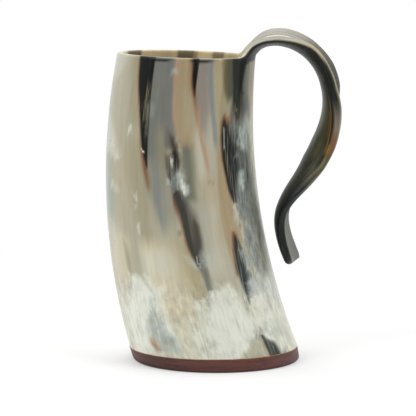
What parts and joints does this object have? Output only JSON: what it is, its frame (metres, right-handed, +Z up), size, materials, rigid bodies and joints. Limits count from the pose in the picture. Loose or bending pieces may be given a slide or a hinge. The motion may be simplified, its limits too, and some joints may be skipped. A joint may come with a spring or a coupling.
{
  "type": "horn drinking cup",
  "caption": "Drinking cup made from a length of curved hollow horn on a wooden base, with an open hooked handle bent from a strip of the same horn.",
  "frame": {"origin": "centre of the base plate's underside, which stands on the table", "axes": "+Z up, +X from the cup's middle towards the handle, +Y across the handle"},
  "size_m": [0.1192, 0.0828, 0.1682],
  "materials": {
    "horn": "polished natural horn, streaked",
    "glue": "hardened amber glue, cut flush",
    "base_wood": "dark reddish brown hardwood, oiled",
    "plug_wood": "reddish brown hardwood, sealed",
    "seal": "clear amber sealing resin"
  },
  "bodies": {
    "root": {"horn": "horn", "glue_line": "glue", "base_plate": "base_wood", "base_plug": "plug_wood", "sealing_bead": "seal"}
  },
  "joints": []
}
